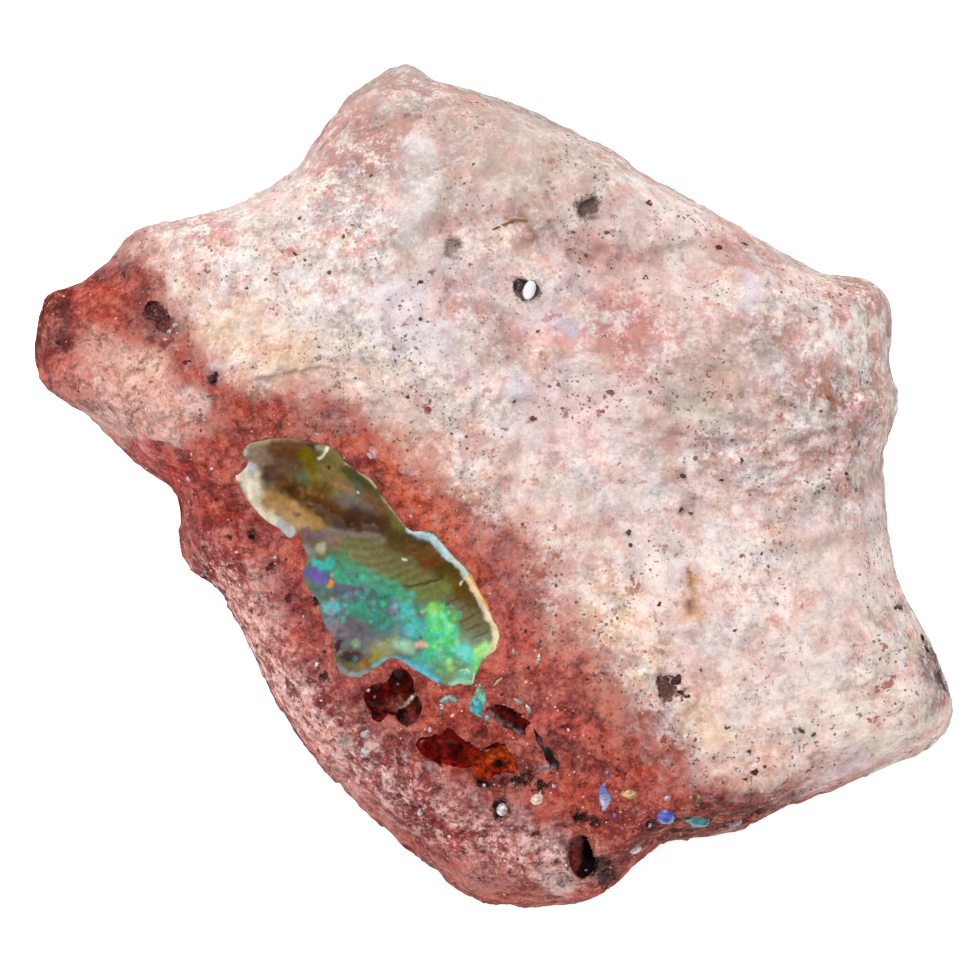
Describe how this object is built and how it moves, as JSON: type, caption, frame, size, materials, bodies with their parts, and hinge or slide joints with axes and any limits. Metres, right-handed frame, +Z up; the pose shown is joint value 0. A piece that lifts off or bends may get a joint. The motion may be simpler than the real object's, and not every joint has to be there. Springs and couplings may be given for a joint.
{
  "type": "boulder fire opal specimen",
  "caption": "Rough broken piece of pink rhyolite with a scooped lens of precious opal, red fire opal pools and small glassy opal beads set in its brick-red band.",
  "frame": {"origin": "middle of the stone's plan at its flat break, the face that it rests on", "axes": "+X along the stone's width, towards its right end; +Y towards its peak; +Z up from the flat break, out of the face that shows the opal"},
  "size_m": [0.0456, 0.0421, 0.0188],
  "materials": {
    "rhyolite": "rough broken rhyolite, cream-pink with a brick-red iron-stained band, fine dark specks and grains",
    "precious_opal": "glassy conchoidal break, olive brown to milky, with green, cyan and violet play of colour",
    "fire_opal": "clear orange-red fire opal, glassy",
    "cherry_opal": "dark cherry-red opal, glassy",
    "smoky_opal": "smoky purple-brown opal, glassy",
    "blue_green_opal": "milky turquoise opal, glassy",
    "blue_violet_opal": "milky blue to lavender opal, glassy",
    "milky_opal": "milky white to cream common opal, glassy",
    "clear_opal": "colourless hyalite, glassy"
  },
  "bodies": {
    "root": {"rhyolite_matrix": "rhyolite", "precious_opal": "precious_opal", "fire_opal_pool": "fire_opal", "cherry_opal_cluster": "cherry_opal", "dark_opal_pocket": "cherry_opal", "turquoise_opal_sliver": "blue_green_opal", "smoky_opal_bar": "smoky_opal", "smoky_opal_vein": "smoky_opal", "lavender_opal_streak": "blue_violet_opal", "blue_opal_bead": "blue_violet_opal", "teal_opal_grain": "blue_green_opal", "yellow_opal_grain": "milky_opal", "milky_opal_bead": "milky_opal", "cream_opal_bead": "milky_opal", "white_opal_bead": "milky_opal", "clear_opal_drop": "clear_opal"}
  },
  "joints": []
}
